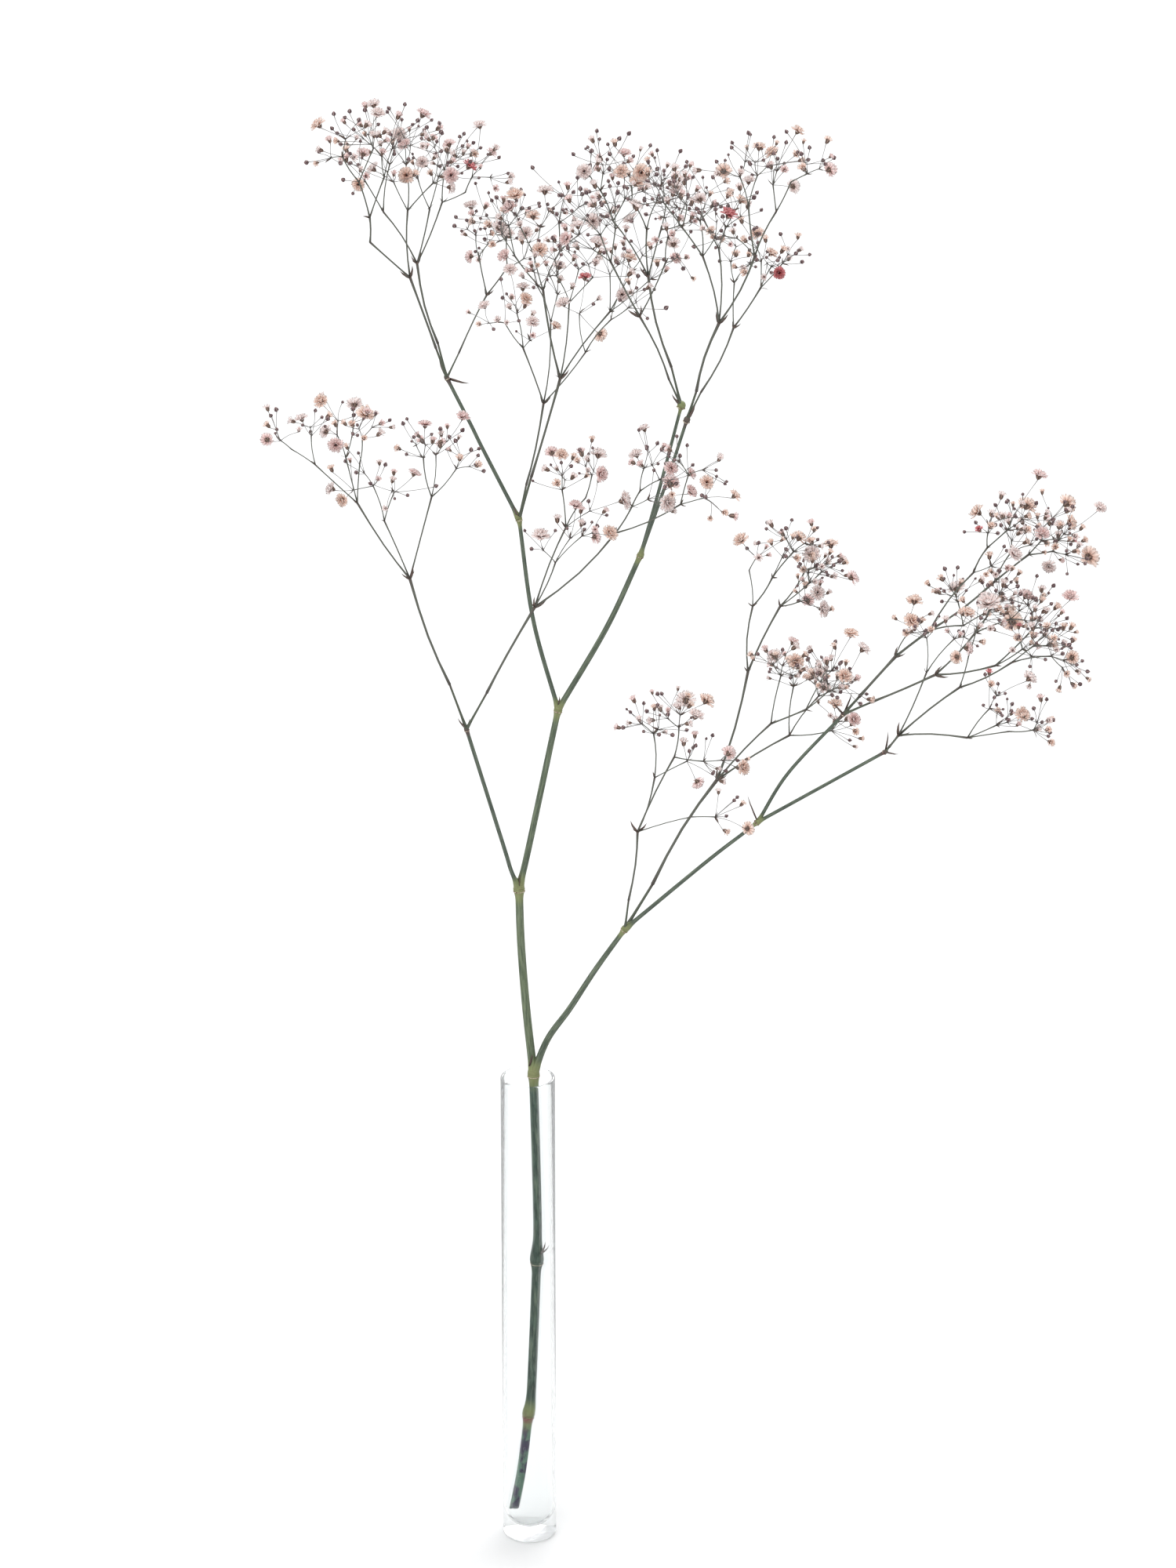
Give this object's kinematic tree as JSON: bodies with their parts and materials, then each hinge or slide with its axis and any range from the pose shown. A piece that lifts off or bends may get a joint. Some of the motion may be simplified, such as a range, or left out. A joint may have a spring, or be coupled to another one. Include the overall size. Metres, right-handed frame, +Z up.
{
  "type": "gypsophila stem",
  "caption": "Dried gypsophila stem with many fine forks, double flowers and buds, standing in a slim clear glass tube vase.",
  "frame": {"origin": "middle of the glass tube's flat foot, on the surface that it stands on", "axes": "+Z up along the tube, -Y towards the viewer, +X to the viewer's right"},
  "size_m": [0.3811, 0.1994, 0.7146],
  "materials": {
    "clear_glass": "clear smooth glass, fire-polished rim",
    "green_stem": "dry matt green stem with yellower joints and dark bracts",
    "dried_bloom": "papery pale pink petals, brown-mauve calyxes and buds on grey-green twigs"
  },
  "bodies": {
    "root": {"glass_tube": "clear_glass", "main_stem": "green_stem", "top_left_outer_spray": "dried_bloom", "top_left_inner_spray": "dried_bloom", "upper_left_spray": "dried_bloom", "middle_spray": "dried_bloom", "centre_spray": "dried_bloom", "top_middle_near_spray": "dried_bloom", "top_middle_spray": "dried_bloom", "top_right_spray": "dried_bloom", "outer_top_right_spray": "dried_bloom", "left_spray": "dried_bloom", "crossing_spray": "dried_bloom", "lower_right_near_spray": "dried_bloom", "right_middle_spray": "dried_bloom", "right_upper_spray": "dried_bloom", "right_inner_spray": "dried_bloom", "right_lower_spray": "dried_bloom"}
  },
  "joints": []
}
